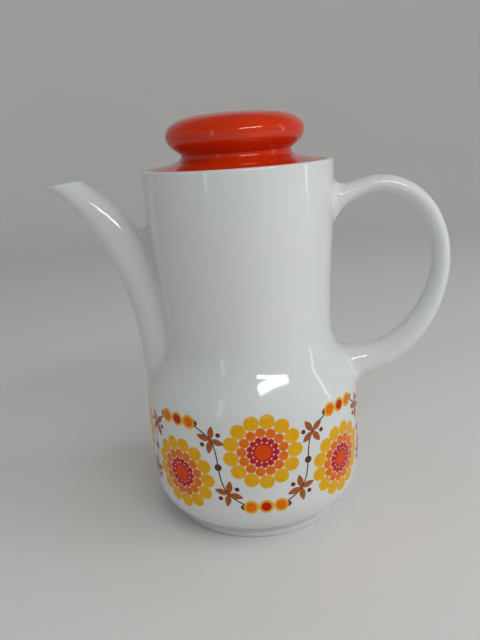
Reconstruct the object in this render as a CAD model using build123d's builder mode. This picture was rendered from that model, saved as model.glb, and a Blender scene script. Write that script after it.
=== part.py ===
"""Porcelain coffee pot with a long spout, a loop handle, a lift-off lid and a printed flower band.

The pot's axis is Z and it stands on Z = 0. The handle points along +X and the spout along -X.
All sizes are in millimetres.
"""

from build123d import *
from math import cos, radians, sin
import os

# Pot body, outside
rim_height = 190.0
rim_radius = 49.3
neck_radius = 45.2
belly_radius = 58.45
foot_radius = 46.1
foot_height = 5.9
foot_width = 4.0
foot_waist = 0.9
undercut_height = 17.4
shoulder_height = 74.8
neck_height = 96.0
flare_height = 82.0
shoulder_round = 13.0
neck_round = 24.0
rim_round = 1.3

# Pot body, inside
wall = 3.2
floor_height = 8.6
base_recess = 3.0
seat_depth = 3.4
seat_wall = 3.5
seat_ledge = 2.8
ledge_height = 5.0
pour_hole_radius = 8.0
pour_hole_height = 12.0

# Spout
spout_reach = 104.4
spout_root_radius = 15.0
spout_mouth_radius = 6.9
spout_root_wall = 3.0
spout_mouth_wall = 2.0
mouth_drop = 4.2
mouth_slope = 7.5

# Handle
handle_reach = 109.6
handle_thickness = 9.2
handle_width = 14.0
root_thickness = 24.0
root_width = 20.0

# Lid
lid_clearance = 0.4
seat_gap = 0.2
collar_clearance = 0.8
collar_depth = 10.5
lid_wall = 3.0
edge_height = 2.2
cone_width = 3.7
cone_rise = 2.6
waist_radius = 28.3
waist_height = 6.6
knob_overhang = 7.1
knob_height = 19.2

# Printed band
print_thickness = 0.12
band_start = -84.9
high_flower_height = 55.4
low_flower_height = 39.8
petal_count = 13
petal_ring = 16.1
petal_radius = 3.6
high_trio_height = 69.5
low_trio_height = 25.3
bead_radius = 3.5
bead_pitch = 7.6
cap_radius = 1.6
stem_width = 0.9
dot_radius = 1.9
leaf_length = 6.2
leaf_width = 2.9
high_blossom_height = 61.7
low_blossom_height = 32.7
high_blossom_turn = 25.8
low_blossom_turn = 18.4
pattern_pitch = 45.0

os.makedirs("parts", exist_ok=True)


def finish(part, name):
    """Label a finished piece and write it as one STEP file."""
    part.label = name
    export_step(part, f"parts/{name}.step")


def outside_wall(skin=0.0):
    """Draw the pot's outer line from its foot up to the rim, moved out by skin."""
    crease = foot_radius - foot_waist + skin
    wall_foot = foot_height + undercut_height
    full = belly_radius + skin
    corner = (full - 0.4, shoulder_height)
    Polyline(
        (foot_radius - 0.8 + skin, 0),
        (foot_radius + skin, 0.9),
        (foot_radius + skin, 0.45 * foot_height),
        (crease + 0.2, foot_height - 0.9),
        (crease, foot_height),
    )
    under = Bezier(
        (crease, foot_height),
        (crease + 0.50 * (full - crease), foot_height + 0.10 * undercut_height),
        (full - 1.4, foot_height + 0.42 * undercut_height),
        (full - 0.9, wall_foot),
    )
    middle = (wall_foot + shoulder_height) / 2
    side = ThreePointArc(under @ 1, (full, middle + 3), (full - 0.3, shoulder_height - 9))
    slope = FilletPolyline(
        side @ 1,
        corner,
        (neck_radius + skin, neck_height),
        (neck_radius + skin, neck_height + 12),
        radius=[shoulder_round, neck_round],
    )
    flare_foot = (slope @ 1).Y
    flare = Bezier(
        slope @ 1,
        (neck_radius + skin, flare_foot + 0.35 * flare_height),
        (rim_radius + skin, flare_foot + 0.6 * flare_height),
        (rim_radius + skin, flare_foot + 0.9 * flare_height),
    )
    Line(flare @ 1, (rim_radius + skin, rim_height))


def solid_pot(skin=0.0):
    """Return the pot's outer form as a full solid, with no hollow."""
    with BuildPart() as form:
        with BuildSketch(Plane.XZ):
            with BuildLine():
                outside_wall(skin)
                Line((rim_radius + skin, rim_height), (0, rim_height))
                Line((0, rim_height), (0, 0))
                Line((0, 0), (foot_radius - 0.8 + skin, 0))
            make_face()
        revolve(axis=Axis.Z)
    return form.part


pot_form = solid_pot()

# Pot body
ledge_top = rim_height - seat_depth
seat_radius = rim_radius - seat_wall
ledge_radius = seat_radius - seat_ledge
ledge_foot = ledge_top - ledge_height
neck_inside = neck_radius - wall
top_inside = rim_radius - wall
belly_inside = belly_radius - wall
recess_radius = foot_radius - foot_width

with BuildPart() as pot_body:
    add(pot_form)
    with BuildSketch(Plane.XZ):
        with BuildLine():
            hollow = FilletPolyline(
                (0, floor_height),
                (belly_inside - 10, floor_height),
                (belly_inside, floor_height + 10),
                (belly_inside, shoulder_height - 1.5),
                (neck_inside, neck_height - 1.5),
                (neck_inside, neck_height + 12),
                radius=[6, 8, shoulder_round - wall, neck_round + wall],
            )
            throat = Bezier(
                hollow @ 1,
                (neck_inside, (hollow @ 1).Y + 0.35 * flare_height),
                (top_inside, ledge_foot - 0.35 * flare_height),
                (top_inside, ledge_foot - seat_ledge),
            )
            Polyline(
                throat @ 1,
                (ledge_radius, ledge_foot),
                (ledge_radius, ledge_top),
                (seat_radius, ledge_top),
                (seat_radius, rim_height),
                (0, rim_height),
                (0, floor_height),
            )
        make_face()
    revolve(axis=Axis.Z, mode=Mode.SUBTRACT)
    with BuildSketch():
        Circle(recess_radius)
    extrude(amount=base_recess, taper=20, mode=Mode.SUBTRACT)
    with Locations(Plane((-neck_inside, 0, shoulder_height + pour_hole_height), z_dir=(-1, 0, 0))):
        Cylinder(pour_hole_radius, 2 * wall + belly_radius - neck_inside, mode=Mode.SUBTRACT)
    rim_edges = pot_body.edges().filter_by(GeomType.CIRCLE).group_by(Axis.Z)[-1]
    fillet(rim_edges, rim_round)
finish(pot_body.part, "pot_body")

# Spout
mouth_height = rim_height - mouth_drop
mouth_middle = spout_reach - 11.5
spout_foot = shoulder_height - 7
spout_start = belly_radius - 0.4 - spout_root_radius


def spout_point(out, up):
    """Return a point of the spout's centre line: shares of the way out and up from root to mouth."""
    reach = spout_start + out * (mouth_middle - spout_start)
    return (-reach, neck_height + up * (mouth_height - neck_height))


with BuildLine(Plane.XZ) as spout_path:
    Spline(
        (-spout_start, spout_foot),
        spout_point(0.03, -0.03),
        spout_point(0.20, 0.39),
        spout_point(0.38, 0.61),
        spout_point(0.62, 0.80),
        spout_point(1.00, 1.00),
        spout_point(1.16, 1.08),
    )


def spout_solid(inset_at):
    """Loft the spout's round sections along its centre line, each drawn in by inset_at."""
    count = 9
    line = spout_path.wires()[0]
    with BuildPart() as tube:
        for step in range(count):
            share = step / (count - 1)
            with BuildSketch(Plane(line @ share, x_dir=(0, 1, 0), z_dir=line % share)):
                taper = max(0.0, (share - 0.14) / 0.80) ** 1.15
                outer_radius = spout_root_radius + (spout_mouth_radius - spout_root_radius) * taper
                Circle(outer_radius - inset_at(share))
        loft()
    return tube.part


def spout_wall(share):
    """Return the wall thickness of the spout, thinner towards its mouth."""
    return spout_root_wall + (spout_mouth_wall - spout_root_wall) * share


spout_form = spout_solid(lambda share: 0.0)
spout_hollow = spout_solid(spout_wall)
mouth_plane = Plane(
    (-mouth_middle, 0, mouth_height),
    x_dir=(0, 1, 0),
    z_dir=(-sin(radians(mouth_slope)), 0, cos(radians(mouth_slope))),
)
hollow_floor = Plane.XY.offset(shoulder_height + 5)

with BuildPart() as channel:
    add(spout_hollow)
    split(bisect_by=hollow_floor, keep=Keep.TOP)

with BuildPart() as spout:
    add(spout_form)
    split(bisect_by=mouth_plane, keep=Keep.BOTTOM)
    add(channel.part, mode=Mode.SUBTRACT)
    add(pot_form, mode=Mode.SUBTRACT)
finish(spout.part, "spout")

# Handle: each section has its place, the lean of its face, its thickness and its width
top_root = rim_height - 30
low_root = shoulder_height + 3
loop_height = (shoulder_height + rim_height) / 2 + 1.6
handle_sections = [
    (rim_radius - 5.5, top_root + 1.5, 0, root_thickness, root_width - 2),
    (rim_radius + 1.9, top_root + 9.2, 22, handle_thickness + 2.8, handle_width + 2),
    (rim_radius + 9.3, top_root + 12.4, 28, handle_thickness, handle_width),
    (rim_radius + 23.0, top_root + 15.5, 2, handle_thickness - 0.7, handle_width - 1),
    (handle_reach - 18.8, top_root + 8.4, -40, handle_thickness - 0.4, handle_width - 1),
    (handle_reach - 5.6, loop_height + 10, -80, handle_thickness - 0.1, handle_width - 0.5),
    (handle_reach - 6.6, loop_height - 12, -104, handle_thickness + 0.8, handle_width),
    (handle_reach - 15.8, low_root + 23.2, -127, handle_thickness + 2.8, handle_width + 1),
    (handle_reach - 34.0, low_root + 6.8, -149, handle_thickness + 6.2, handle_width + 3),
    (belly_radius - 7.0, low_root, -160, root_thickness - 1, root_width + 1),
]

with BuildPart() as handle:
    for reach, height, lean, thickness, width in handle_sections:
        facing = (cos(radians(lean)), 0, sin(radians(lean)))
        half_width = width / 2
        half_depth = thickness / 2
        with BuildSketch(Plane((reach, 0, height), x_dir=(0, 1, 0), z_dir=facing)):
            with BuildLine():
                corners = [(half_width, 0), (0, half_depth), (-half_width, 0), (0, -half_depth)]
                Spline(corners, periodic=True)
            make_face()
    loft()
    add(pot_form, mode=Mode.SUBTRACT)
finish(handle.part, "handle")

# Lid cover: the flange that fills the rim, its waist and the collar below it
edge_radius = seat_radius - lid_clearance
edge_foot = ledge_top + seat_gap
edge_top = edge_foot + edge_height
collar_radius = ledge_radius - collar_clearance
collar_foot = edge_foot - collar_depth
waist_top = rim_height + waist_height
cone_radius = waist_radius + cone_width
knob_radius = waist_radius + knob_overhang
waist_inside = waist_radius - lid_wall

with BuildPart() as lid_cover:
    with BuildSketch(Plane.XZ):
        with BuildLine():
            cone = Line((edge_radius - 0.9, edge_top + 0.6), (cone_radius, edge_top + 0.6 + cone_rise))
            TangentArc(cone @ 1, (waist_radius, waist_top), tangent=cone % 1)
            Polyline(
                (waist_radius, waist_top),
                (waist_inside, waist_top),
                (waist_inside, edge_top + 0.4),
                (collar_radius - lid_wall, edge_top - 0.8),
                (collar_radius - lid_wall, collar_foot),
                (collar_radius, collar_foot),
                (collar_radius, edge_foot),
                (edge_radius, edge_foot),
                (edge_radius, edge_top),
                cone @ 0,
            )
        make_face()
    revolve(axis=Axis.Z)
finish(lid_cover.part, "lid_cover")

# Lid knob: a hollow cushion of clay on the waist
knob_top = waist_top + knob_height


def knob_outline(inset):
    """Draw the knob's round section from its neck to the axis, drawn in by inset."""
    bulge = Spline(
        (waist_radius - inset, waist_top),
        (waist_radius + 3.2 - inset, waist_top + 0.18 * knob_height + 0.6 * inset),
        (knob_radius - inset, waist_top + 0.46 * knob_height),
        (knob_radius - 4.0 - inset, knob_top - 4.4 - 0.6 * inset),
        (0.56 * knob_radius, knob_top - 1.4 - inset),
        (0, knob_top - inset),
        tangents=[(0.1, 1), (-1, 0)],
    )
    Line(bulge @ 1, (0, waist_top))
    Line((0, waist_top), bulge @ 0)


with BuildPart() as lid_knob:
    with BuildSketch(Plane.XZ):
        with BuildLine():
            knob_outline(0)
        make_face()
    revolve(axis=Axis.Z)
    with BuildSketch(Plane.XZ):
        with BuildLine():
            knob_outline(lid_wall)
        make_face()
    revolve(axis=Axis.Z, mode=Mode.SUBTRACT)
finish(lid_knob.part, "lid_knob")

# Printed band: eight flowers and the garland between them, as thin skins on the belly
turn = 2 * pattern_pitch
high_azimuths = [band_start + turn * period for period in range(4)]
low_azimuths = [azimuth + pattern_pitch for azimuth in high_azimuths]
print_form = solid_pot(print_thickness)

with BuildPart() as skin:
    add(print_form)
    add(pot_form, mode=Mode.SUBTRACT)


def facing_plane(azimuth):
    """Return the upright plane through the pot's axis that faces the given azimuth."""
    angle = radians(azimuth)
    return Plane((0, 0, 0), x_dir=(-sin(angle), cos(angle), 0), z_dir=(cos(angle), sin(angle), 0))


def across(degrees):
    """Return how far to the side a point of the belly lies, that many degrees round from the middle."""
    return belly_radius * sin(radians(degrees))


def print_on_pot(outline, name):
    """Press a flat outline onto the belly as a thin skin, cut round the handle and the spout."""
    with BuildPart() as mark:
        extrude(outline, amount=2 * belly_radius)
        add(skin.part, mode=Mode.INTERSECT)
        add(handle.part, mode=Mode.SUBTRACT)
        add(spout.part, mode=Mode.SUBTRACT)
    finish(mark.part, name)


def flower_outline(azimuth, height):
    """Return the scalloped outline of one flower: a ring of round petals round a full middle."""
    with BuildSketch(facing_plane(azimuth)) as outline:
        with Locations((0, height)):
            Circle(petal_ring)
            with PolarLocations(petal_ring, petal_count):
                Circle(petal_radius)
    return outline.sketch


def trio_outline(azimuth, height):
    """Return three beads in a row with a bud cap at each end."""
    with BuildSketch(facing_plane(azimuth)) as outline:
        with Locations((0, height)):
            with GridLocations(bead_pitch, 0, 3, 1):
                Circle(bead_radius)
            with GridLocations(2 * (bead_pitch + bead_radius + 0.8), 0, 2, 1):
                Circle(cap_radius)
    return outline.sketch


def spray_outline(azimuth, side):
    """Return a stem with a blossom at each end and a dot in the middle."""
    middle = pattern_pitch / 2
    high_place = (side * across(high_blossom_turn - middle), high_blossom_height)
    low_place = (side * across(low_blossom_turn - middle), low_blossom_height)
    middle_place = (0, (high_blossom_height + low_blossom_height) / 2)
    with BuildSketch(facing_plane(azimuth)) as outline:
        with BuildLine():
            Spline(high_place, middle_place, low_place)
        trace(line_width=stem_width)
        with Locations(middle_place):
            Circle(dot_radius)
        for place in (high_place, low_place):
            with Locations(place):
                with PolarLocations(0.52 * leaf_length, 4, start_angle=45):
                    Ellipse(leaf_length / 2, leaf_width / 2)
                with PolarLocations(0.8 * leaf_length, 4):
                    Circle(0.2 * leaf_width)
    return outline.sketch


for number, azimuth in enumerate(high_azimuths, start=1):
    print_on_pot(flower_outline(azimuth, high_flower_height), f"high_flower_{number}")
    print_on_pot(trio_outline(azimuth, low_trio_height), f"low_beads_{number}")
    for side, name in ((-1, "left"), (1, "right")):
        spray = spray_outline(azimuth + side * pattern_pitch / 2, side)
        print_on_pot(spray, f"{name}_spray_{number}")

for number, azimuth in enumerate(low_azimuths, start=1):
    print_on_pot(flower_outline(azimuth, low_flower_height), f"low_flower_{number}")
    print_on_pot(trio_outline(azimuth, high_trio_height), f"high_beads_{number}")
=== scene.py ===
"""Looks of a porcelain coffee pot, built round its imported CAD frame.

The pot's axis is Z and it stands on Z = 0. The handle points along +X and the spout along -X.
Sizes in the classes are in millimetres, and each finished mesh is scaled to metres.
"""

import logging
import math
from bisect import bisect_right
from dataclasses import dataclass, field
from enum import Enum
from typing import Any, Callable, Iterable, Sequence

import bmesh
import bpy
import numpy as np
from mathutils import Matrix, Vector


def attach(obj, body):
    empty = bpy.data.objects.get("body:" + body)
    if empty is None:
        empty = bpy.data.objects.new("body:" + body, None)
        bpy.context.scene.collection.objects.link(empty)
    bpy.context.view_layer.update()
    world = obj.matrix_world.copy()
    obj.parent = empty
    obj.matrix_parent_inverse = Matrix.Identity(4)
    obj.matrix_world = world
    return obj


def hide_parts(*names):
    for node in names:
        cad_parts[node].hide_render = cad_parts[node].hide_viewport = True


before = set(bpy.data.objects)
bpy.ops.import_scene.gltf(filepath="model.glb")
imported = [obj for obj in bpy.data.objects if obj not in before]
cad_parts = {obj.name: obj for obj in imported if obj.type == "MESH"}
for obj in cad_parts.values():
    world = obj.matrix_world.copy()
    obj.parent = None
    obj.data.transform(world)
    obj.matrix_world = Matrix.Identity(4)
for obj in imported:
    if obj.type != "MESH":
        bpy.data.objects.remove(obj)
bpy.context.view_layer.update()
log = logging.getLogger("coffee_pot")

METRES = 0.001
POT_MIDDLE = 0.11
Pair = tuple[float, float]
Colour = tuple[float, float, float]


# ---------------------------------------------------------------- finishes


class Signal:
    """A number that changes over a surface, used in ordinary arithmetic."""

    def __init__(self, paint: "Paint", socket: bpy.types.NodeSocket) -> None:
        """Keep the socket and the paint that it belongs to."""
        self.paint = paint
        self.socket = socket

    def _maths(self, operation: str, first: Any, second: Any) -> "Signal":
        """Add one Math node.

        Args:
            operation: the Math node's operation.
            first: a Signal or a number.
            second: a Signal or a number.

        Returns:
            The node's result.
        """
        return self.paint.signal("ShaderNodeMath", {"operation": operation}, {0: first, 1: second})

    def __add__(self, other: Any) -> "Signal":
        """Return self + other."""
        return self._maths("ADD", self, other)

    def __sub__(self, other: Any) -> "Signal":
        """Return self - other."""
        return self._maths("SUBTRACT", self, other)

    def __rsub__(self, other: Any) -> "Signal":
        """Return other - self."""
        return self._maths("SUBTRACT", other, self)

    def __mul__(self, other: Any) -> "Signal":
        """Return self * other."""
        return self._maths("MULTIPLY", self, other)

    __radd__ = __add__
    __rmul__ = __mul__

    def above(self, edge: float, softness: float) -> "Signal":
        """Return 0 below the edge and 1 above it, with a soft step between."""
        settings = {"interpolation_type": "SMOOTHSTEP"}
        limits = {0: self, 1: edge - softness, 2: edge + softness}
        return self.paint.signal("ShaderNodeMapRange", settings, limits)


class Paint:
    """One material under construction, on the Principled shader."""

    def __init__(self, name: str) -> None:
        """Start an empty material with that name."""
        self.material = bpy.data.materials.new(name)
        self.material.use_nodes = True
        self.tree = self.material.node_tree
        self.shader = self.tree.nodes["Principled BSDF"]
        self.place = self.node("ShaderNodeTexCoord", {}, {}).outputs["Object"]

    def node(self, kind: str, settings: dict[str, Any], values: dict[Any, Any]) -> bpy.types.Node:
        """Add one node.

        Args:
            kind: the node's type.
            settings: its properties, set first.
            values: a value, socket or Signal for each input, by name or index.

        Returns:
            The new node.
        """
        made = self.tree.nodes.new(kind)
        for key, value in settings.items():
            setattr(made, key, value)
        for key, value in values.items():
            self.feed(made.inputs[key], value)
        return made

    def signal(self, kind: str, settings: dict[str, Any], values: dict[Any, Any]) -> Signal:
        """Add one node and return its first output as a Signal."""
        return Signal(self, self.node(kind, settings, values).outputs[0])

    def feed(self, socket: bpy.types.NodeSocket, value: Any) -> None:
        """Link a Signal or a socket to an input, or set a plain value on it."""
        if isinstance(value, Signal):
            value = value.socket
        if isinstance(value, bpy.types.NodeSocket):
            self.tree.links.new(value, socket)
        elif isinstance(value, tuple) and len(value) == 3 and socket.type == "RGBA":
            socket.default_value = (*value, 1.0)
        else:
            socket.default_value = value

    def noise(self, size: float, detail: float = 2.0, stretch: Colour = (1.0, 1.0, 1.0)) -> Signal:
        """Return smooth noise from 0 to 1.

        Args:
            size: the width of one patch in millimetres.
            detail: how much finer noise is laid over it.
            stretch: how much tighter the patches are along X, Y and Z.

        Returns:
            The noise value.
        """
        mapped = self.node("ShaderNodeMapping", {}, {"Vector": self.place, "Scale": stretch})
        values = {"Vector": mapped.outputs[0], "Scale": 1 / (size * METRES), "Detail": detail}
        return self.signal("ShaderNodeTexNoise", {"normalize": True}, values)

    def height(self) -> Signal:
        """Return the height above the foot, in millimetres."""
        split = self.node("ShaderNodeSeparateXYZ", {}, {0: self.place})
        return Signal(self, split.outputs["Z"]) * (1 / METRES)

    def attribute(self, name: str) -> Signal:
        """Return a number stored on the mesh's points."""
        made = self.node("ShaderNodeAttribute", {"attribute_name": name}, {})
        return Signal(self, made.outputs["Fac"])

    def blend(self, share: Any, first: Any, second: Any) -> bpy.types.NodeSocket:
        """Return the first colour where share is 0 and the second where it is 1."""
        made = self.node("ShaderNodeMix", {"data_type": "RGBA"}, {0: share, 6: first, 7: second})
        return made.outputs[2]

    def relief(self, layers: Sequence[tuple[Signal, float]]) -> None:
        """Raise the surface by several height maps.

        Args:
            layers: pairs of a height map and its full height in millimetres.
        """
        normal = None
        for pattern, rise in layers:
            values = {"Strength": 1.0, "Distance": rise * METRES, "Height": pattern}
            if normal is not None:
                values["Normal"] = normal
            normal = self.node("ShaderNodeBump", {}, values).outputs[0]
        self.feed(self.shader.inputs["Normal"], normal)

    def done(self, **values: Any) -> bpy.types.Material:
        """Set the shader's inputs, with underscores for spaces, and return the material."""
        for key, value in values.items():
            self.feed(self.shader.inputs[key.replace("_", " ")], value)
        return self.material


@dataclass(frozen=True)
class WhiteGlaze:
    """Clear gloss glaze over white porcelain, bare where the foot stands."""

    body: Colour = (0.735, 0.770, 0.775)
    warm: Colour = (0.760, 0.765, 0.745)
    crease_shade: Colour = (0.62, 0.66, 0.66)
    # Painted shade: the darker grey laid over the glaze from the crease above the foot downwards.
    bare: Colour = (0.62, 0.58, 0.52)

    def material(self) -> bpy.types.Material:
        """Build the glaze: a faint drift of tone, painted shade at the foot crease, soft waves in
        the gloss and a rough bare foot.
        """
        paint = Paint("white_glaze")
        drift = paint.noise(70, 2.0)
        grain = paint.noise(1.1, 3.0)
        height = paint.height()
        bare = 1 - height.above(0.55, 0.12)
        # Painted shade: greys the glaze below the crease above the foot, fading out just above it.
        crease_shade_share = (1 - height.above(5.6, 1.6)) * 0.7
        colour = paint.blend(drift.above(0.52, 0.24), self.body, self.warm)
        colour = paint.blend(crease_shade_share, colour, self.crease_shade)
        colour = paint.blend(bare, colour, self.bare)
        waves = paint.noise(26, 1.0)
        peel = paint.noise(3.2, 1.0)
        paint.relief([(waves, 0.10), (peel, 0.006), (grain * bare, 0.06)])
        return paint.done(
            Base_Color=colour,
            Roughness=drift * 0.05 + 0.075 + bare * 0.5,
            Coat_Weight=0.35 - bare * 0.35,
            Coat_Roughness=0.03,
            IOR=1.52,
        )


@dataclass(frozen=True)
class LidGlaze:
    """Deep orange-red glaze outside, white glaze on the covered side of the lid."""

    body: Colour = (0.75, 0.043, 0.002)
    deep: Colour = (0.62, 0.026, 0.002)
    lining: Colour = (0.735, 0.770, 0.775)

    def material(self) -> bpy.types.Material:
        """Build the glaze, with its edge slightly uneven where it meets the white."""
        paint = Paint("lid_glaze")
        drift = paint.noise(34, 2.0)
        wobble = paint.noise(2.5, 2.0)
        white = (paint.attribute("covered") + (wobble - 0.5) * 0.3).above(0.5, 0.08)
        colour = paint.blend(drift.above(0.5, 0.3), self.body, self.deep)
        colour = paint.blend(white, colour, self.lining)
        paint.relief([(paint.noise(17, 1.0), 0.07), (paint.noise(2.6, 1.0), 0.005)])
        return paint.done(
            Base_Color=colour,
            Roughness=drift * 0.05 + 0.07,
            Coat_Weight=0.1,
            Coat_Roughness=0.03,
            IOR=1.45,
        )


@dataclass(frozen=True)
class PrintInk:
    """One colour of the fired print: slightly mottled, with a softer gloss than the glaze."""

    name: str
    body: Colour
    thin: Colour

    def material(self) -> bpy.types.Material:
        """Build the ink, mottled as screened colour is."""
        paint = Paint(self.name)
        cloud = paint.noise(4.5, 3.0)
        speck = paint.noise(0.35, 2.0)
        colour = paint.blend((cloud * 0.7 + speck * 0.3).above(0.55, 0.2), self.body, self.thin)
        paint.relief([(speck, 0.004), (paint.noise(2.2, 1.0), 0.006)])
        return paint.done(
            Base_Color=colour,
            Roughness=0.12 + cloud * 0.08,
            Coat_Weight=0.05,
            Coat_Roughness=0.05,
            Specular_IOR_Level=0.2,
            IOR=1.40,
        )


@dataclass(frozen=True)
class FloorPaint:
    """Plain pale paint on the studio floor."""

    body: Colour = (0.84, 0.83, 0.81)
    worn: Colour = (0.81, 0.80, 0.78)

    def material(self) -> bpy.types.Material:
        """Build the matt paint."""
        paint = Paint("studio_floor")
        colour = paint.blend(paint.noise(300, 3.0), self.body, self.worn)
        return paint.done(Base_Color=colour, Roughness=0.62)


class Ink(Enum):
    """The colours of the printed band."""

    PETAL = PrintInk("ink_golden", (0.80, 0.400, 0.004), (0.84, 0.465, 0.008))
    ORANGE = PrintInk("ink_orange", (0.80, 0.150, 0.003), (0.84, 0.200, 0.006))
    RED = PrintInk("ink_red", (0.50, 0.012, 0.012), (0.58, 0.020, 0.018))
    HEART = PrintInk("ink_flame", (0.76, 0.062, 0.003), (0.80, 0.080, 0.005))
    BROWN = PrintInk("ink_brown", (0.085, 0.034, 0.018), (0.120, 0.050, 0.026))
    RUST = PrintInk("ink_rust", (0.52, 0.105, 0.010), (0.60, 0.140, 0.016))
    PLUM = PrintInk("ink_plum", (0.165, 0.022, 0.022), (0.21, 0.032, 0.030))


# ---------------------------------------------------------------- shaping tools


@dataclass(frozen=True)
class Corner:
    """One corner of a turned profile.

    Attributes:
        out: distance from the axis.
        up: height.
        rounding: radius of the corner, 0 for a sharp one.
        leave: the point that the curved run after the corner sets out towards.
        arrive: the point that the curved run before the corner comes in from.
    """

    out: float
    up: float
    rounding: float = 0.0
    leave: Pair | None = None
    arrive: Pair | None = None

    def point(self) -> Vector:
        """Return the corner's place in the X-Z plane."""
        return Vector((self.out, 0, self.up))


class Profile:
    """A line of corners and curved runs, turned round the axis."""

    def __init__(self, corners: Sequence[Corner], smooth: int = 8) -> None:
        """Draw the profile as a curve and keep its points.

        Args:
            corners: the corners in order.
            smooth: how many parts each run is divided into.
        """
        knots: list[tuple[Vector, Vector, Vector]] = []
        for index, corner in enumerate(corners):
            knots.extend(self._knots(corners, index, corner))
        curve = bpy.data.curves.new("profile", "CURVE")
        curve.dimensions = "3D"
        curve.resolution_u = smooth
        spline = curve.splines.new("BEZIER")
        spline.bezier_points.add(len(knots) - 1)
        for made, (place, before, after) in zip(spline.bezier_points, knots):
            made.handle_left_type = made.handle_right_type = "FREE"
            made.co = place
            made.handle_left = before
            made.handle_right = after
        holder = bpy.data.objects.new("profile", curve)
        self.mesh = bpy.data.meshes.new_from_object(holder)
        bpy.data.objects.remove(holder)
        self.points = [(v.co.x, v.co.z) for v in self.mesh.vertices]

    @staticmethod
    def _knots(
        corners: Sequence[Corner], index: int, corner: Corner
    ) -> list[tuple[Vector, Vector, Vector]]:
        """Return the one or two knots of a corner, each with the handles before and after it."""
        place = corner.point()
        if corner.rounding == 0:
            before = Vector((corner.arrive[0], 0, corner.arrive[1])) if corner.arrive else place
            after = Vector((corner.leave[0], 0, corner.leave[1])) if corner.leave else place
            return [(place, before, after)]
        back = (corners[index - 1].point() - place).normalized()
        ahead = (corners[index + 1].point() - place).normalized()
        turn = math.pi - back.angle(ahead)
        reach = corner.rounding * math.tan(turn / 2)
        pull = 4 / 3 * math.tan(turn / 4) * corner.rounding
        start = place + back * reach
        end = place + ahead * reach
        return [(start, start, start - back * pull), (end, end - ahead * pull, end)]

    def turned(self, steps: int) -> bmesh.types.BMesh:
        """Return the profile turned a full round."""
        shape = bmesh.new()
        shape.from_mesh(self.mesh)
        bmesh.ops.spin(
            shape,
            geom=[*shape.verts, *shape.edges],
            cent=(0, 0, 0),
            axis=(0, 0, 1),
            angle=math.tau,
            steps=steps,
            use_merge=True,
            use_duplicate=False,
        )
        bmesh.ops.remove_doubles(shape, verts=shape.verts, dist=0.002)
        return shape


class Wall:
    """The pot's outer wall as a radius for each height, for pieces that sit on it."""

    def __init__(self, points: Iterable[Pair]) -> None:
        """Keep the outer line's points, in rising order."""
        rising = sorted(points, key=lambda p: p[1])
        self.heights = [p[1] for p in rising]
        self.radii = [p[0] for p in rising]

    def radius(self, height: float) -> float:
        """Return the wall's radius at a height."""
        index = min(max(bisect_right(self.heights, height), 1), len(self.heights) - 1)
        low, high = self.heights[index - 1], self.heights[index]
        share = (height - low) / max(high - low, 1e-6)
        return self.radii[index - 1] * (1 - share) + self.radii[index] * share

    def normal(self, place: Vector) -> Vector:
        """Return the outward direction of the wall nearest to a point."""
        slope = (self.radius(place.z + 0.4) - self.radius(place.z - 0.4)) / 0.8
        side = Vector((place.x, place.y, 0)).normalized()
        return Vector((side.x, side.y, -slope)).normalized()

    def onto(self, place: Vector, lift: float = 0.0) -> Vector:
        """Return the point moved sideways onto the wall, then out of it by lift."""
        side = Vector((place.x, place.y, 0)).normalized() * self.radius(place.z)
        on_wall = Vector((side.x, side.y, place.z))
        return on_wall + self.normal(on_wall) * lift

    def inside(self, place: Vector) -> bool:
        """Return whether a point is inside the wall."""
        return math.hypot(place.x, place.y) < self.radius(place.z)


class SmoothLine:
    """Rows of numbers joined by a smooth curve, read at any share of its length."""

    def __init__(self, rows: Sequence[Sequence[float]]) -> None:
        """Fit the curve. The first two columns are the place that its length is measured on."""
        self.rows = np.array(rows, float)
        steps = np.linalg.norm(np.diff(self.rows[:, :2], axis=0), axis=1)
        self.at = np.concatenate([[0.0], np.cumsum(steps)])
        self.length = float(self.at[-1])
        self.at /= self.at[-1]
        count = len(rows)
        gap = np.diff(self.at)
        pull = np.diff(self.rows, axis=0) / gap[:, None]
        system = np.eye(count)
        target = np.zeros_like(self.rows)
        for i in range(1, count - 1):
            system[i, i - 1 : i + 2] = gap[i - 1], 2 * (gap[i - 1] + gap[i]), gap[i]
            target[i] = 6 * (pull[i] - pull[i - 1])
        self.bend = np.linalg.solve(system, target)

    def read(self, share: float) -> np.ndarray:
        """Return the row at a share from 0 to 1."""
        i = int(min(max(np.searchsorted(self.at, share) - 1, 0), len(self.at) - 2))
        gap = self.at[i + 1] - self.at[i]
        b = (share - self.at[i]) / gap
        a = 1 - b
        bow = (a**3 - a) * self.bend[i] + (b**3 - b) * self.bend[i + 1]
        return a * self.rows[i] + b * self.rows[i + 1] + bow * gap * gap / 6


Skin = Callable[[float, float], Vector]


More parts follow.
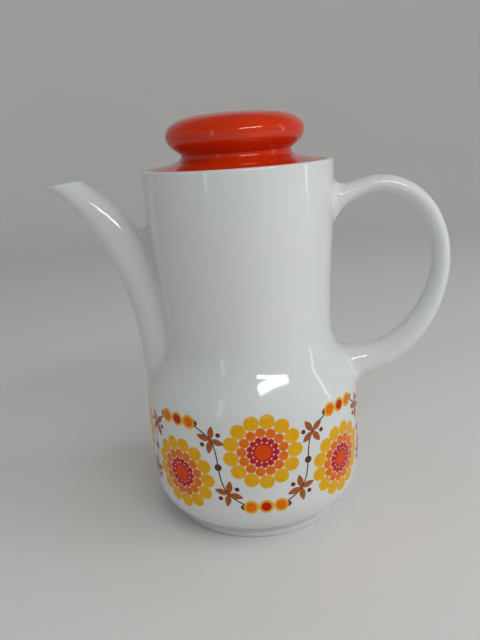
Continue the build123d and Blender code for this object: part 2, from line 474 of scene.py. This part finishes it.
@dataclass
class Root:
    """Where a tube grows out of the pot: its generators are cut at the wall and flared onto it.

    Attributes:
        wall: the pot's wall.
        skin: gives the tube's surface point for a share of its length and a turn round it.
        centre: gives the tube's middle for a share of its length.
        buried: a share where the whole tube is inside the pot.
        free: a share where the whole tube is outside it.
        rounding: radius of the flare between the two.
        longest: the longest that the flare may reach.
    """

    wall: Wall
    skin: Skin
    centre: Callable[[float], Vector]
    buried: float
    free: float
    rounding: float = 4.0
    longest: float = 12.0
    rings: int = 7

    def meeting(self, turn: float) -> float:
        """Return the share of the length where one generator comes out of the wall."""
        low, high = self.buried, self.free
        for _ in range(34):
            middle = (low + high) / 2
            if self.wall.inside(self.skin(middle, turn)):
                low = middle
            else:
                high = middle
        return high

    def flare(self, turn: float) -> tuple[float, list[Vector]]:
        """Work out the flare of one generator.

        Args:
            turn: the generator's angle round the tube.

        Returns:
            The share where the plain tube starts, and the flare's points from the wall up to it.
        """
        share = self.meeting(turn)
        foot = self.skin(share, turn)
        step = 0.004 if self.free > self.buried else -0.004
        ahead = self.skin(share + step, turn) - foot
        per_share = ahead.length / abs(step)
        ahead.normalize()
        normal = self.wall.normal(foot)
        away = foot - self.centre(share)
        away -= normal * away.dot(normal)
        away.normalize()
        between = max(ahead.angle(away), 0.15)
        reach = min(max(self.rounding / math.tan(between / 2) ** 1.35, 2.4), self.longest)
        start = share + math.copysign(reach / per_share, step)
        top = self.skin(start, turn)
        low = self.wall.onto(foot + away * reach)
        line = [self.wall.onto(foot + away * (reach + 0.9), -0.35), low]
        for ring in range(1, self.rings):
            t = ring / self.rings
            line.append(low * (1 - t) ** 2 + foot * 2 * t * (1 - t) + top * t**2)
        return start, line


def grow(rows: Sequence[Sequence[Vector]], closed: bool = True) -> bmesh.types.BMesh:
    """Grow a tube ring by ring.

    Args:
        rows: for each generator, its points in order; all are equally long.
        closed: whether the two end rings are filled.

    Returns:
        The tube.
    """
    shape = bmesh.new()
    mark = shape.verts.layers.int.new("generator")
    bmesh.ops.create_circle(shape, cap_ends=False, segments=len(rows), radius=1)
    for index, vert in enumerate(shape.verts):
        vert[mark] = index
        vert.co = rows[index][0]
    edges = list(shape.edges)
    for ring in range(1, len(rows[0])):
        made = bmesh.ops.extrude_edge_only(shape, edges=edges)["geom"]
        edges = [g for g in made if isinstance(g, bmesh.types.BMEdge)]
        for vert in (g for g in made if isinstance(g, bmesh.types.BMVert)):
            vert.co = rows[vert[mark]][ring]
    if closed:
        bmesh.ops.holes_fill(shape, edges=[e for e in shape.edges if e.is_boundary], sides=0)
    return shape


def make_piece(shape: bmesh.types.BMesh, name: str, paint: bpy.types.Material) -> bpy.types.Object:
    """Turn a finished shape into an object in metres, smooth apart from its creases.

    Args:
        shape: the shape, in millimetres; it is freed.
        name: the piece's name.
        paint: its material.

    Returns:
        The new object.
    """
    bmesh.ops.scale(shape, vec=(METRES, METRES, METRES), verts=shape.verts)
    bmesh.ops.recalc_face_normals(shape, faces=shape.faces)
    for face in shape.faces:
        face.smooth = True
    for edge in shape.edges:
        edge.smooth = len(edge.link_faces) != 2 or edge.calc_face_angle(0) < math.radians(38)
    mesh = bpy.data.meshes.new(name)
    shape.to_mesh(mesh)
    shape.free()
    mesh.materials.append(paint)
    made = bpy.data.objects.new(name, mesh)
    bpy.context.scene.collection.objects.link(made)
    return made


def settle(piece: bpy.types.Object, body: str, nodes: Iterable[str]) -> None:
    """Fix a piece to its CAD body, hide the CAD nodes that it stands in for, and report it."""
    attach(piece, body)
    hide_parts(*nodes)
    log.info("%s: %d faces, rides on %s", piece.name, len(piece.data.polygons), body)


# ---------------------------------------------------------------- the pot


@dataclass
class PotBody:
    """The thrown body: foot ring, round belly, shoulder, neck and rim, hollow inside.

    Attributes:
        foot: outer radius of the foot ring; belly, neck and rim are outer radii too.
        foot_waist: how far the crease above the foot is drawn in.
        swell: reach and height of the slight swell half way up the shoulder.
        seat_wall: the rim's thickness round the lid.
        ledge: height of the ledge that the lid rests on.
        ledge_width: how far that ledge reaches inwards.
        floor: height of the floor inside.
        recess: height of the hollow under the foot.
        steps: how many flats it has round its axis.
    """

    foot: float = 46.1
    foot_waist: float = 0.9
    belly: float = 58.45
    swell: Pair = (52.15, 85.7)
    neck: float = 45.2
    rim: float = 49.3
    height: float = 190.0
    wall: float = 3.2
    seat_wall: float = 3.5
    ledge: float = 186.6
    ledge_width: float = 2.8
    floor: float = 8.6
    recess: float = 3.0
    hole_radius: float = 8.0
    hole_height: float = 86.8
    steps: int = 176

    def outer_line(self) -> list[Corner]:
        """Return the outside of the pot from its foot to its rim."""
        crease = self.foot - self.foot_waist
        side = self.belly - 0.9
        return [
            Corner(self.foot - 3.8, 0.0, 0.8),
            Corner(self.foot - 0.3, 0.0, 0.9),
            Corner(self.foot, 2.6, 1.5),
            Corner(crease, 5.8, 0.9),
            Corner(crease + 1.5, 6.2, leave=(51.6, 7.7)),
            Corner(
                side,
                23.3,
                arrive=(self.belly - 1.4, 13.2),
                leave=(side + 0.95, 37.5),
            ),
            Corner(self.belly - 0.3, 65.8, arrive=(self.belly + 0.25, 51.6)),
            Corner(self.belly - 0.4, 74.8, 13.0),
            Corner(*self.swell, 140.0),
            Corner(self.neck, 96.0, 24.0),
            Corner(self.neck, 108.0, leave=(self.neck, 136.7)),
            Corner(self.rim, 181.8, arrive=(self.rim, 157.2)),
            Corner(self.rim, self.height, 1.3),
        ]

    def inner_line(self) -> list[Corner]:
        """Return the inside of the pot from its rim down to the middle of its floor."""
        neck = self.neck - self.wall
        belly = self.belly - self.wall
        throat = self.rim - self.wall
        seat = self.rim - self.seat_wall
        ledge_edge = seat - self.ledge_width
        return [
            Corner(seat, self.height, 1.3),
            Corner(seat, self.ledge, 0.4),
            Corner(ledge_edge, self.ledge, 0.6),
            Corner(ledge_edge, self.ledge - 5.0, 0.6),
            Corner(throat, 178.8, leave=(throat, 152.9)),
            Corner(neck, 108.0, arrive=(neck, 136.7)),
            Corner(neck, 94.5, 27.2),
            Corner(belly, 73.3, 9.8),
            Corner(belly, 18.6, 8.0),
            Corner(belly - 10, self.floor, 6.0),
            Corner(0, self.floor),
        ]

    def outside(self) -> Wall:
        """Return the outer wall for the pieces that sit on it."""
        top = [Corner(self.rim - self.seat_wall, self.height)]
        line = Profile(self.outer_line() + top, 16).points
        return Wall(p for p in line if 6.2 <= p[1] < self.height - 1.5)

    def build(self, paint: bpy.types.Material) -> bpy.types.Object:
        """Turn the body, pierce it behind the spout and fix it to the frame."""
        middle = [Corner(0, self.recess), Corner(self.foot - 5.2, self.recess, 0.8)]
        shape = Profile(middle + self.outer_line() + self.inner_line()).turned(self.steps)
        made = make_piece(shape, "body", paint)
        drill = bmesh.new()
        bmesh.ops.create_cone(
            drill,
            cap_ends=True,
            segments=48,
            radius1=self.hole_radius,
            radius2=self.hole_radius,
            depth=16,
            matrix=Matrix.Translation((-self.belly + 8, 0, self.hole_height))
            @ Matrix.Rotation(math.pi / 2, 4, "Y"),
        )
        cutter = make_piece(drill, "drill", paint)
        cut = made.modifiers.new("pour hole", "BOOLEAN")
        cut.operation = "DIFFERENCE"
        cut.solver = "EXACT"
        cut.object = cutter
        graph = bpy.context.evaluated_depsgraph_get()
        pierced = bpy.data.meshes.new_from_object(made.evaluated_get(graph))
        made.modifiers.clear()
        made.data = pierced
        bpy.data.objects.remove(cutter)
        settle(made, "pot", ["pot_body"])
        return made


@dataclass
class Spout:
    """The long curved spout: a tapered hollow tube that flares onto the pot, with a rounded lip.

    Attributes:
        line: reach and height of the spout's middle, from its root to past its mouth.
        mouth: reach and height of the middle of the mouth's plane.
        mouth_slope: how far that plane leans forward, in degrees.
        lip: how deep the lip's rounding goes.
        beak: how far the underside is drawn out at the lip.
        throat: how far the underside is drawn in just below the lip.
        around: how many generators the tube has.
        along: how many steps each generator has.
    """

    line: Sequence[Pair] = (
        (43.05, 67.8),
        (44.55, 93.3),
        (53.0, 131.0),
        (62.0, 150.8),
        (73.6, 168.1),
        (92.9, 185.8),
        (100.8, 193.0),
    )
    root_radius: float = 15.0
    mouth_radius: float = 6.9
    root_wall: float = 3.0
    mouth_wall: float = 2.0
    mouth: Pair = (92.9, 185.8)
    mouth_slope: float = 7.5
    lip: float = 1.3
    beak: float = 3.9
    throat: float = 3.3
    around: int = 72
    along: int = 34

    def __post_init__(self) -> None:
        """Fit the centre line."""
        self.path = SmoothLine(self.line)

    def centre(self, share: float) -> Vector:
        """Return the middle of the spout at a share of its length."""
        out, up = self.path.read(share)
        return Vector((-out, 0, up))

    def radius(self, share: float) -> float:
        """Return the outer radius at a share of the length."""
        taper = max(0.0, (share - 0.14) / 0.80) ** 1.15
        return self.root_radius + (self.mouth_radius - self.root_radius) * taper

    def skin(self, share: float, turn: float, inset: float = 0.0) -> Vector:
        """Return a point of the spout's surface, drawn in by inset."""
        ahead = (self.centre(share + 0.004) - self.centre(share - 0.004)).normalized()
        side = Vector((0, 1, 0))
        up = side.cross(ahead)
        round_it = side * math.cos(turn) + up * math.sin(turn)
        place = self.centre(share) + round_it * (self.radius(share) - inset)
        front = max(0.0, -math.sin(turn)) ** 2
        drawn = math.exp(-(((share - 0.885) / 0.085) ** 2)) * self.throat
        late = max(0.0, (share - 0.86) / 0.10) ** 2 * self.beak
        return place + (Vector((-1, 0, 0.15)) * late - round_it * drawn) * front

    def wall_at(self, share: float) -> float:
        """Return the wall's thickness at a share of the length."""
        return self.root_wall + (self.mouth_wall - self.root_wall) * share

    def mouth_share(self, turn: float, inset: float, below: float) -> float:
        """Return the share where a generator is that far below the mouth's plane."""
        tilt = math.radians(self.mouth_slope)
        normal = Vector((-math.sin(tilt), 0, math.cos(tilt)))
        middle = Vector((-self.mouth[0], 0, self.mouth[1])) - normal * below
        low, high = 0.6, 1.0
        for _ in range(34):
            share = (low + high) / 2
            if (self.skin(share, turn, inset) - middle).dot(normal) < 0:
                low = share
            else:
                high = share
        return low

    def generator(self, root: Root, wall: Wall, turn: float) -> list[Vector]:
        """Return one line of the spout: up its outside, over the lip and back down the channel."""
        start, line = root.flare(turn)
        end = self.mouth_share(turn, 0.0, self.lip)
        for step in range(self.along + 1):
            line.append(self.skin(start + (end - start) * step / self.along, turn))
        thick = self.mouth_wall
        for angle in (25, 50, 75, 105, 130, 155, 180):
            inset = thick / 2 * (1 - math.cos(math.radians(angle)))
            below = self.lip * (1 - math.sin(math.radians(angle)))
            line.append(self.skin(self.mouth_share(turn, inset, below), turn, inset))
        low, high = 0.0, 0.85
        for _ in range(30):
            share = (low + high) / 2
            place = self.skin(share, turn, self.wall_at(share))
            low, high = (share, high) if wall.inside(place) else (low, share)
        top = self.mouth_share(turn, thick, self.lip)
        for step in range(1, 19):
            share = top + (low - top) * step / 18
            line.append(self.skin(share, turn, self.wall_at(share / top)))
        line.append(wall.onto(line[-1], -0.5))
        return line

    def build(self, wall: Wall, paint: bpy.types.Material) -> bpy.types.Object:
        """Grow the spout from the wall and fix it to the frame."""
        root = Root(wall, self.skin, self.centre, 0.0, 0.8, rounding=6.2, longest=28.0)
        turns = [math.tau * i / self.around for i in range(self.around)]
        shape = grow([self.generator(root, wall, turn) for turn in turns], closed=False)
        bmesh.ops.bridge_loops(shape, edges=[e for e in shape.edges if e.is_boundary])
        made = make_piece(shape, "spout_piece", paint)
        settle(made, "pot", ["spout"])
        return made


@dataclass
class LoopHandle:
    """The loop handle: an oval bar, thick where it leaves the neck and the belly.

    Attributes:
        sections: for each section its reach, height, thickness, width and lean in degrees.
    """

    sections: Sequence[Sequence[float]] = (
        (43.8, 161.5, 24.0, 18.0, 0),
        (51.2, 169.2, 12.0, 16.0, 22),
        (58.6, 172.4, 9.2, 14.0, 28),
        (72.3, 175.5, 8.5, 13.0, 2),
        (90.8, 168.4, 8.8, 13.0, -40),
        (104.0, 144.0, 9.1, 13.5, -80),
        (103.0, 122.0, 10.0, 14.0, -104),
        (93.8, 101.0, 12.0, 15.0, -127),
        (75.6, 84.6, 15.4, 17.0, -149),
        (51.45, 77.8, 23.0, 21.0, -160),
    )
    around: int = 48
    along: int = 84

    def __post_init__(self) -> None:
        """Fit the bar's centre line and section sizes."""
        self.path = SmoothLine(self.sections)

    def centre(self, share: float) -> Vector:
        """Return the middle of the bar at a share of its length."""
        row = self.path.read(share)
        return Vector((row[0], 0, row[1]))

    def skin(self, share: float, turn: float) -> Vector:
        """Return a point of the bar's surface."""
        reach, height, thick, width, lean = self.path.read(share)
        lean = math.radians(lean)
        up = Vector((-math.sin(lean), 0, math.cos(lean)))
        side = Vector((0, 1, 0)) * (math.cos(turn) * width / 2)
        return Vector((reach, 0, height)) + side + up * (math.sin(turn) * thick / 2)

    def generator(self, top: Root, low: Root, turn: float) -> list[Vector]:
        """Return one line of the bar, from the neck round to the belly."""
        start, line = top.flare(turn)
        end, tail = low.flare(turn)
        for step in range(self.along + 1):
            line.append(self.skin(start + (end - start) * step / self.along, turn))
        return line + tail[::-1]

    def build(self, wall: Wall, paint: bpy.types.Material) -> bpy.types.Object:
        """Grow the handle between its two roots and fix it to the frame."""
        top = Root(wall, self.skin, self.centre, 0.0, 0.2, rounding=5.5, longest=11.0)
        low = Root(wall, self.skin, self.centre, 1.0, 0.8, rounding=6.5, longest=12.0)
        turns = [math.tau * i / self.around for i in range(self.around)]
        shape = grow([self.generator(top, low, turn) for turn in turns])
        made = make_piece(shape, "loop_handle", paint)
        settle(made, "pot", ["handle"])
        return made


@dataclass
class Lid:
    """The lid: a flange in the rim with a collar below it, a waist and a hollow cushion knob."""

    edge: float = 45.4
    edge_foot: float = 186.8
    edge_top: float = 189.0
    cone: float = 32.0
    waist: float = 28.3
    waist_top: float = 196.6
    knob: float = 35.4
    top: float = 215.8
    wall: float = 3.0
    collar: float = 42.2
    collar_foot: float = 176.3
    steps: int = 160

    def outer_line(self) -> list[Corner]:
        """Return the glazed outside from the flange's edge to the top of the knob."""
        widest = self.waist_top + 8.8
        return [
            Corner(self.edge, self.edge_foot + 1.0),
            Corner(self.edge, self.edge_top + 0.3, 0.8),
            Corner(self.cone, self.edge_top + 3.2, leave=(self.waist + 1.0, self.edge_top + 3.9)),
            Corner(
                self.waist,
                self.waist_top - 0.4,
                arrive=(self.waist - 0.1, self.waist_top - 2.4),
                leave=(self.waist + 1.3, self.waist_top + 1.3),
            ),
            Corner(
                self.knob,
                widest,
                arrive=(self.knob, widest - 5.6),
                leave=(self.knob, widest + 3.6),
            ),
            Corner(
                self.knob - 9.6,
                self.top - 2.1,
                arrive=(self.knob - 3.4, self.top - 3.9),
                leave=(self.knob - 16.4, self.top - 0.45),
            ),
            Corner(0, self.top, arrive=(9.0, self.top)),
        ]

    def inner_line(self) -> list[Corner]:
        """Return the covered side from the middle of the knob down to the collar and the seat."""
        neck = self.waist - self.wall
        widest = self.waist_top + 8.8
        return [
            Corner(
                0,
                self.top - self.wall,
                leave=(15.0, self.top - self.wall),
            ),
            Corner(
                self.knob - self.wall,
                widest,
                arrive=(self.knob - self.wall, widest + 6.0),
                leave=(self.knob - self.wall, widest - 4.5),
            ),
            Corner(neck, self.waist_top, arrive=(neck, self.waist_top + 3.0)),
            Corner(neck, self.edge_top + 0.2, 1.2),
            Corner(self.collar - self.wall, self.edge_top - 1.0, 1.2),
            Corner(self.collar - self.wall, self.collar_foot, 1.2),
            Corner(self.collar, self.collar_foot, 1.2),
            Corner(self.collar, self.edge_foot, 0.3),
            Corner(self.edge, self.edge_foot, 0.5),
            Corner(self.edge, self.edge_foot + 1.0),
        ]

    def build(self, paint: bpy.types.Material) -> bpy.types.Object:
        """Turn the lid, mark its covered side and fix it to the frame."""
        outside = self.outer_line()
        shape = Profile(outside + self.inner_line(), 12).turned(self.steps)
        covered = shape.verts.layers.float.new("covered")
        shell = Wall(Profile(outside, 12).points)
        for vert in shape.verts:
            out = math.hypot(vert.co.x, vert.co.y)
            on_shell = out > shell.radius(vert.co.z) - 0.9 or vert.co.z > self.top - 2.6
            vert[covered] = 0.0 if on_shell and vert.co.z > self.edge_foot + 0.9 else 1.0
        made = make_piece(shape, "lid_piece", paint)
        settle(made, "lid", ["lid_cover", "lid_knob"])
        return made


# ---------------------------------------------------------------- the printed band


class Stamp(Enum):
    """The plain shapes that the print is made of."""

    ROUND = "round"
    LEAF = "leaf"
    CUP = "cup"


# Each ring's ink, radius, radius of its rounds, share of a step that it is turned, and lift
FLOWER_RINGS = (
    (Ink.PETAL, 16.05, 3.84, 0.0, 0.030),
    (Ink.ORANGE, 10.45, 2.50, 0.5, 0.045),
    (Ink.RED, 6.65, 1.59, 0.0, 0.060),
)

# Each round's ink, radius and lift
FLOWER_HEART = ((Ink.RED, 5.1, 0.045), (Ink.HEART, 4.15, 0.085))

# Each layer's ink, half length and half width, and lift
LEAF_LAYERS = (
    (Ink.BROWN, (3.75, 1.65), 0.040),
    (Ink.RUST, (3.3, 1.28), 0.060),
    (Ink.BROWN, (2.4, 0.17), 0.075),
)


@dataclass
class PrintedBand:
    """The band of flowers, beads and leaf sprays, as thin layers of ink on the belly."""

    wall: Wall
    start: float = -84.9
    pitch: float = 45.0
    sunk: float = 0.05
    flower_heights: Pair = (55.4, 39.8)
    bead_heights: Pair = (25.3, 69.5)
    petal_count: int = 13
    petal_turn: float = -3.1
    bead_pitch: float = 7.6
    leaf_reach: float = 3.7
    dot_reach: float = 5.3
    shapes: dict[Ink, bmesh.types.BMesh] = field(default_factory=dict)
    stamps: dict[Stamp, bpy.types.Mesh] = field(default_factory=dict)

    def cut_stamp(self, kind: Stamp, segments: int) -> bpy.types.Mesh:
        """Make one stamp of unit size and unit thickness.

        Args:
            kind: which stamp.
            segments: how many sides its outline has.

        Returns:
            The stamp's mesh.
        """
        shape = bmesh.new()
        bmesh.ops.create_circle(shape, cap_ends=True, segments=segments, radius=1)
        bmesh.ops.inset_individual(shape, faces=list(shape.faces), thickness=0.5)
        middle = min(shape.faces, key=lambda f: f.calc_center_median().length - f.calc_area())
        bmesh.ops.poke(shape, faces=[middle])
        for vert in shape.verts:
            if kind is Stamp.LEAF:
                vert.co.y *= 1 - 0.62 * vert.co.x**2
            if kind is Stamp.CUP:
                vert.co.x -= 0.55 * vert.co.y**2
        made = bmesh.ops.extrude_face_region(shape, geom=list(shape.faces), use_keep_orig=True)
        raised = [g for g in made["geom"] if isinstance(g, bmesh.types.BMVert)]
        bmesh.ops.translate(shape, verts=raised, vec=(0, 0, 1))
        bmesh.ops.recalc_face_normals(shape, faces=shape.faces)
        mesh = bpy.data.meshes.new(f"stamp_{kind.value}")
        shape.to_mesh(mesh)
        shape.free()
        return mesh

    def wrap(self, azimuth: float, side: float, height: float, lift: float) -> Vector:
        """Return the point of the pot that faces a place on a flat drawing.

        Args:
            azimuth: which way the drawing faces, in degrees.
            side: distance to the side on the drawing.
            height: height on the drawing.
            lift: how far out of the wall.

        Returns:
            The point.
        """
        radius = self.wall.radius(height)
        turn = math.radians(azimuth) + math.asin(max(-1.0, min(1.0, side / radius)))
        return self.wall.onto(Vector((math.cos(turn), math.sin(turn), height)), lift)

    def press(
        self,
        ink: Ink,
        kind: Stamp,
        azimuth: float,
        place: Pair,
        size: Pair,
        angle: float,
        lift: float,
    ) -> None:
        """Press one stamp onto the belly.

        Args:
            ink: its colour.
            kind: which stamp.
            azimuth: which way the drawing faces, in degrees.
            place: the stamp's middle on the drawing.
            size: its half length and half width.
            angle: its turn on the drawing, in degrees.
            lift: how far its face stands out of the wall.
        """
        shape = self.shapes.setdefault(ink, bmesh.new())
        before = len(shape.verts)
        shape.from_mesh(self.stamps[kind])
        shape.verts.ensure_lookup_table()
        turn = math.radians(angle)
        for vert in shape.verts[before:]:
            along, across = vert.co.x * size[0], vert.co.y * size[1]
            side = place[0] + along * math.cos(turn) - across * math.sin(turn)
            height = place[1] + along * math.sin(turn) + across * math.cos(turn)
            depth = vert.co.z * (lift + self.sunk) - self.sunk
            vert.co = self.wrap(azimuth, side, height, depth)

    def flower(self, azimuth: float, height: float) -> None:
        """Print one flower: three rings of rounds about a red and orange heart."""
        step = 360 / self.petal_count
        for ink, radius, size, phase, lift in FLOWER_RINGS:
            for index in range(self.petal_count):
                angle = math.radians(self.petal_turn + (index + phase) * step)
                place = (radius * math.cos(angle), height + radius * math.sin(angle))
                self.press(ink, Stamp.ROUND, azimuth, place, (size, size), 0, lift)
        for ink, size, lift in FLOWER_HEART:
            self.press(ink, Stamp.ROUND, azimuth, (0.0, height), (size, size), 0, lift)

    def beads(self, azimuth: float, height: float) -> None:
        """Print three beads in a row, with a bud cup at each end."""
        for index in (-1, 0, 1):
            place = (index * self.bead_pitch, height)
            core = Ink.RED if index == 0 else Ink.ORANGE
            self.press(Ink.PETAL, Stamp.ROUND, azimuth, place, (3.78, 3.78), 0, 0.045)
            self.press(core, Stamp.ROUND, azimuth, place, (2.55, 2.55), 0, 0.070)
        for side in (-1, 1):
            place = (side * (self.bead_pitch + 4.0), height)
            angle = 0 if side > 0 else 180
            self.press(Ink.BROWN, Stamp.CUP, azimuth, place, (1.25, 1.75), angle, 0.035)

    def blossom(self, azimuth: float, place: Pair, lean: float) -> None:
        """Print one small blossom.

        Args:
            azimuth: which way the drawing faces, in degrees.
            place: the blossom's middle on the drawing.
            lean: the direction of the stem through it, in degrees.
        """
        for spread in (-42, 42, 138, 222):
            turn = lean + spread
            middle = self.beside(place, turn, self.leaf_reach)
            for ink, size, lift in LEAF_LAYERS:
                self.press(ink, Stamp.LEAF, azimuth, middle, size, turn, lift)
        for spread in (-90, 90):
            middle = self.beside(place, lean + spread, self.dot_reach)
            self.press(Ink.PLUM, Stamp.ROUND, azimuth, middle, (1.2, 1.2), 0, 0.045)

    @staticmethod
    def beside(place: Pair, turn: float, reach: float) -> Pair:
        """Return the place that far away in a direction given in degrees."""
        angle = math.radians(turn)
        return (place[0] + reach * math.cos(angle), place[1] + reach * math.sin(angle))

    def stem(self, azimuth: float, knots: Sequence[Pair], width: float) -> None:
        """Print one thin stem.

        Args:
            azimuth: which way the drawing faces, in degrees.
            knots: the places that it runs through on the drawing.
            width: its width.
        """
        shape = self.shapes.setdefault(Ink.BROWN, bmesh.new())
        path = SmoothLine(knots)
        strip = bmesh.new()
        bmesh.ops.create_grid(strip, x_segments=44, y_segments=1, size=0.5)
        made = bmesh.ops.extrude_face_region(strip, geom=list(strip.faces), use_keep_orig=True)
        raised = [g for g in made["geom"] if isinstance(g, bmesh.types.BMVert)]
        bmesh.ops.translate(strip, verts=raised, vec=(0, 0, 1))
        for vert in strip.verts:
            share = min(max(vert.co.x + 0.5, 0.0), 1.0)
            side, height = path.read(share)
            ahead = path.read(min(share + 0.01, 1.0)) - path.read(max(share - 0.01, 0.0))
            ahead /= np.linalg.norm(ahead)
            side -= ahead[1] * vert.co.y * width
            height += ahead[0] * vert.co.y * width
            vert.co = self.wrap(azimuth, side, height, 0.025 if vert.co.z > 0.5 else -self.sunk)
        bmesh.ops.recalc_face_normals(strip, faces=strip.faces)
        loose = bpy.data.meshes.new("stem")
        strip.to_mesh(loose)
        strip.free()
        shape.from_mesh(loose)
        bpy.data.meshes.remove(loose)

    def spray(self, azimuth: float, side: int) -> None:
        """Print one spray: a stem from bud cup to bud cup through two blossoms and a dot."""
        low = (side * -4.2, 32.7)
        high = (side * 3.4, 61.7)
        middle = (side * 0.1, 47.2)
        low_cup = (side * -12.2, 26.6)
        high_cup = (side * 11.4, 67.9)
        self.stem(azimuth, (low_cup, low, middle, high, high_cup), 0.7)
        lean = 90 - side * 33
        self.blossom(azimuth, low, lean)
        self.blossom(azimuth, high, lean if side < 0 else 82)
        self.press(Ink.BROWN, Stamp.ROUND, azimuth, middle, (1.9, 1.9), 0, 0.050)

    def build(self, paints: dict[Ink, bpy.types.Material]) -> None:
        """Print the whole band, one piece for each colour, and fix it to the frame."""
        self.stamps[Stamp.ROUND] = self.cut_stamp(Stamp.ROUND, 22)
        self.stamps[Stamp.LEAF] = self.cut_stamp(Stamp.LEAF, 18)
        self.stamps[Stamp.CUP] = self.cut_stamp(Stamp.CUP, 14)
        for period in range(4):
            high = self.start + 2 * self.pitch * period
            self.flower(high, self.flower_heights[0])
            self.beads(high, self.bead_heights[0])
            self.flower(high + self.pitch, self.flower_heights[1])
            self.beads(high + self.pitch, self.bead_heights[1])
            for side in (-1, 1):
                self.spray(high + side * self.pitch / 2, side)
        stands_for = {
            Ink.PETAL: ("flower", "print_yellow"),
            Ink.ORANGE: ("beads", "print_orange"),
            Ink.BROWN: ("spray", "print_brown"),
            Ink.RUST: ("spray", "print_brown"),
            Ink.PLUM: ("spray", "print_brown"),
            Ink.RED: ("flower", "print_orange"),
            Ink.HEART: ("flower", "print_orange"),
        }
        for ink, shape in self.shapes.items():
            word, slot = stands_for[ink]
            made = make_piece(shape, ink.value.name, paints[ink])
            settle(made, "pot", [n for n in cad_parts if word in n])


# ---------------------------------------------------------------- the studio


@dataclass
class Studio:
    """A pale floor that rises all round, soft lights and the camera."""

    floor_radius: float = 1500.0
    floor_height: float = 1700.0
    floor_rounding: float = 600.0

    def floor(self) -> None:
        """Build the floor."""
        line = [
            Corner(0, -0.02),
            Corner(self.floor_radius, -0.02, self.floor_rounding),
            Corner(self.floor_radius + 250, self.floor_height),
        ]
        made = make_piece(Profile(line, 16).turned(96), "studio_floor", FloorPaint().material())
        for face in made.data.polygons:
            face.use_smooth = True
        made.data.flip_normals()

    def light(
        self, name: str, place: Vector, size: Pair, power: float, tint: Colour, seen: bool = True
    ) -> None:
        """Hang one soft light that faces the pot.

        Args:
            name: the light's name.
            place: where it hangs, in metres.
            size: its width and height, in metres.
            power: its power in watts.
            tint: its colour.
            seen: whether it shows as a highlight in the glaze.
        """
        lamp = bpy.data.lights.new(name, "AREA")
        lamp.shape = "RECTANGLE"
        lamp.size, lamp.size_y = size
        lamp.energy = power
        lamp.color = tint
        made = bpy.data.objects.new(name, lamp)
        made.location = place
        aim = Vector((0, 0, POT_MIDDLE)) - place
        made.rotation_euler = aim.to_track_quat("-Z", "Y").to_euler()
        made.visible_glossy = seen
        bpy.context.scene.collection.objects.link(made)

    @staticmethod
    def around(turn: float, rise: float, far: float) -> Vector:
        """Return a place round the pot: degrees right of the camera, degrees up, metres away."""
        angle = math.radians(-88 + turn)
        flat = far * math.cos(math.radians(rise))
        height = POT_MIDDLE + far * math.sin(math.radians(rise))
        return Vector((flat * math.cos(angle), flat * math.sin(angle), height))

    def lights(self) -> None:
        """Hang the window, the side strip and the fills."""
        cool, plain, warm = (0.93, 0.97, 1.0), (1.0, 1.0, 1.0), (1.0, 0.95, 0.88)
        self.light("window", self.around(28, 39, 1.15), (0.66, 0.12), 3.2, plain)
        self.light("side_strip", self.around(84, 16, 1.1), (0.05, 0.85), 0.5, cool)
        self.light("far_strip", self.around(-36, 12, 1.2), (0.10, 0.80), 0.35, cool)
        self.light("side_fill", self.around(72, 26, 1.2), (0.7, 0.9), 3.9, cool, seen=False)
        self.light("overhead", Vector((0.1, 0.15, 1.8)), (1.6, 1.6), 5.0, plain, seen=False)
        self.light("left_fill", self.around(-70, 20, 1.25), (0.9, 0.9), 0.3, warm, seen=False)
        world = bpy.data.worlds.new("studio")
        world.use_nodes = True
        sky = world.node_tree.nodes["Background"]
        sky.inputs["Color"].default_value = (0.86, 0.90, 0.95, 1.0)
        sky.inputs["Strength"].default_value = 0.10
        bpy.context.scene.world = world
        bpy.context.scene.view_settings.view_transform = "Standard"

    def camera(self) -> None:
        """Place the camera: a little above the lid, turned slightly down and rolled."""
        distance, rise = 0.3495, 0.2063
        pitch, yaw, roll, row_turn = 0.27856, -0.01173, -0.07207, math.radians(2.0)
        ahead = Vector(
            (
                math.sin(yaw) * math.cos(pitch),
                math.cos(yaw) * math.cos(pitch),
                -math.sin(pitch),
            )
        )
        level = Vector((math.cos(yaw), -math.sin(yaw), 0))
        top = level.cross(ahead)
        right = level * math.cos(roll) + top * math.sin(roll)
        up = top * math.cos(roll) - level * math.sin(roll)
        lens = bpy.data.cameras.new("camera")
        lens.sensor_width = 36
        lens.lens = 662.2 * 36 / 640
        lens.clip_start = 0.01
        made = bpy.data.objects.new("camera", lens)
        basis = Matrix((right, up, -ahead)).transposed().to_4x4()
        turned = Matrix.Rotation(row_turn, 4, "Z")
        made.matrix_world = turned @ Matrix.Translation((0, -distance, rise)) @ basis
        bpy.context.scene.collection.objects.link(made)
        bpy.context.scene.camera = made

    def build(self) -> None:
        """Set up the studio."""
        self.floor()
        self.lights()
        self.camera()


def main() -> None:
    """Build the pot, its lid, its print and the studio."""
    logging.basicConfig(level=logging.INFO, format="%(name)s %(message)s")
    white = WhiteGlaze().material()
    pot = PotBody()
    wall = pot.outside()
    pot.build(white)
    Spout().build(wall, white)
    LoopHandle().build(wall, white)
    Lid().build(LidGlaze().material())
    PrintedBand(wall).build({ink: ink.value.material() for ink in Ink})
    Studio().build()


if __name__ == "__main__":
    main()
